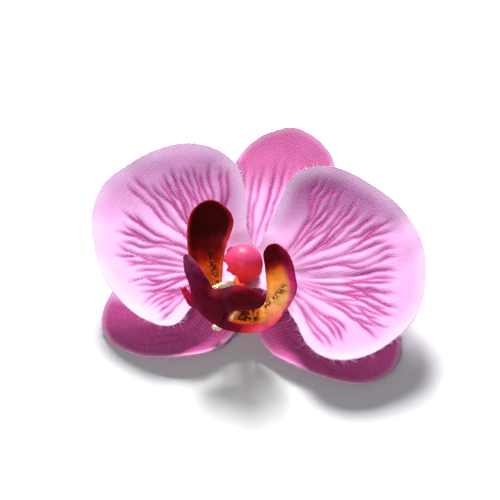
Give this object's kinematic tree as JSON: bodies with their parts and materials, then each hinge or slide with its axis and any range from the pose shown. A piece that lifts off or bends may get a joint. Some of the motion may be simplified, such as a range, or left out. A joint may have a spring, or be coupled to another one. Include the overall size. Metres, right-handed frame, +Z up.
{
  "type": "artificial orchid flower",
  "caption": "Fabric moth-orchid flower head lying on its back: pink veined petals and sepals, burgundy and orange lip, glossy pink column, plastic cap behind.",
  "frame": {"origin": "centre of the back cap's flat foot, on the surface that the flower lies on", "axes": "+Z up, away from the surface; +Y towards the upper sepal; +X towards the right petal, seen from the front of the flower"},
  "size_m": [0.0844, 0.062, 0.0317],
  "materials": {
    "petal_cloth": "plain-woven polyester, printed lilac-pink with magenta veins, pale frayed rim",
    "sepal_cloth": "plain-woven polyester, printed pink with darker lengthwise veins",
    "lip_cloth": "plain-woven polyester, printed maroon shading to red and orange, brown speckles",
    "column_plastic": "moulded soft plastic, translucent pink to red",
    "cap_plastic": "moulded plastic, off-white",
    "set_glue": "set hot glue, cream"
  },
  "bodies": {
    "root": {"back_cap": "cap_plastic", "sepal_layer": "sepal_cloth", "layer_washer": "cap_plastic", "petal_layer": "petal_cloth", "lip": "lip_cloth", "column": "column_plastic", "throat_glue": "set_glue", "lip_glue": "set_glue"}
  },
  "joints": []
}
